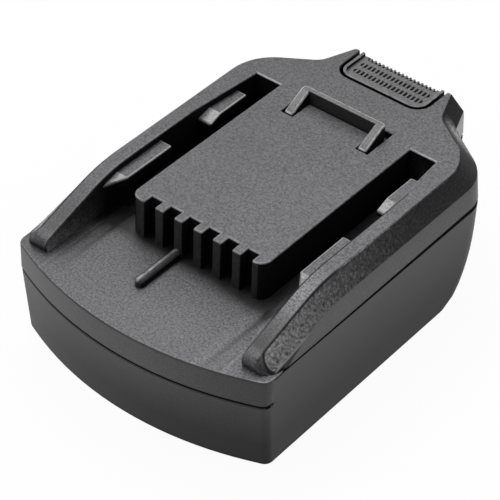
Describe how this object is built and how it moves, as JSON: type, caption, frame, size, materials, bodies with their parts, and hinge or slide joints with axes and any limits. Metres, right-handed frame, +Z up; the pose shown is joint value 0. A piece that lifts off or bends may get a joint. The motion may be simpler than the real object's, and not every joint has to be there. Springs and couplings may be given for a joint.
{
  "type": "tool battery adapter",
  "caption": "Slide-on battery adapter for a cordless tool: railed deck with slotted terminal block, hold-down tabs, a sprung latch with its button, and a bay below for another battery.",
  "frame": {"origin": "middle of the bottom rim, under the centre of the bounding box", "axes": "+Z up through the deck, -Y towards the contact slots and the bowed front, +X to the right seen from the front"},
  "size_m": [0.076, 0.1124, 0.0427],
  "materials": {
    "upper_plastic": "moulded, fine grain",
    "lower_plastic": "moulded, smooth satin",
    "button_plastic": "moulded, fine grain",
    "hook_plastic": "moulded, fine grain",
    "insulator": "moulded, smooth",
    "keeper_plastic": "moulded, smooth",
    "spring_steel": "drawn wire",
    "screw_steel": "zinc plated",
    "contact_brass": "stamped, tin dulled",
    "board_laminate": "solder mask",
    "fuse_ceramic": "ceramic",
    "can_aluminium": "drawn can",
    "package_black": "moulded epoxy",
    "lead_red": "sleeving",
    "lead_black": "sleeving",
    "lead_yellow": "sleeving"
  },
  "bodies": {
    "housing": {"upper_shell": "upper_plastic", "lower_shell": "lower_plastic", "latch_spring_left": "spring_steel", "latch_spring_right": "spring_steel", "latch_keeper": "keeper_plastic", "keeper_screws": "screw_steel", "contact_carrier": "insulator", "clip_positive": "contact_brass", "clip_negative": "contact_brass", "clip_signal_left": "contact_brass", "clip_signal_right": "contact_brass", "circuit_board": "board_laminate", "board_screws": "screw_steel", "fuse": "fuse_ceramic", "capacitor": "can_aluminium", "power_transistor": "package_black", "controller_chip": "package_black", "chip_resistors": "package_black", "terminal_block": "insulator", "blade_positive": "contact_brass", "blade_negative": "contact_brass", "blade_signal": "contact_brass", "lead_positive": "lead_red", "lead_negative": "lead_black", "lead_signal": "lead_yellow", "housing_screws": "screw_steel"},
    "latch": {"latch_hook": "hook_plastic", "release_button": "button_plastic"}
  },
  "joints": [
    {"name": "latch_slide", "type": "slide", "parent": "housing", "child": "latch", "axis": [0, 0, -1], "range_m": [0, 0.0036], "stiffness_N_per_m": 800, "springref_m": -0.003, "deforming": ["latch_spring_left", "latch_spring_right"]}
  ]
}
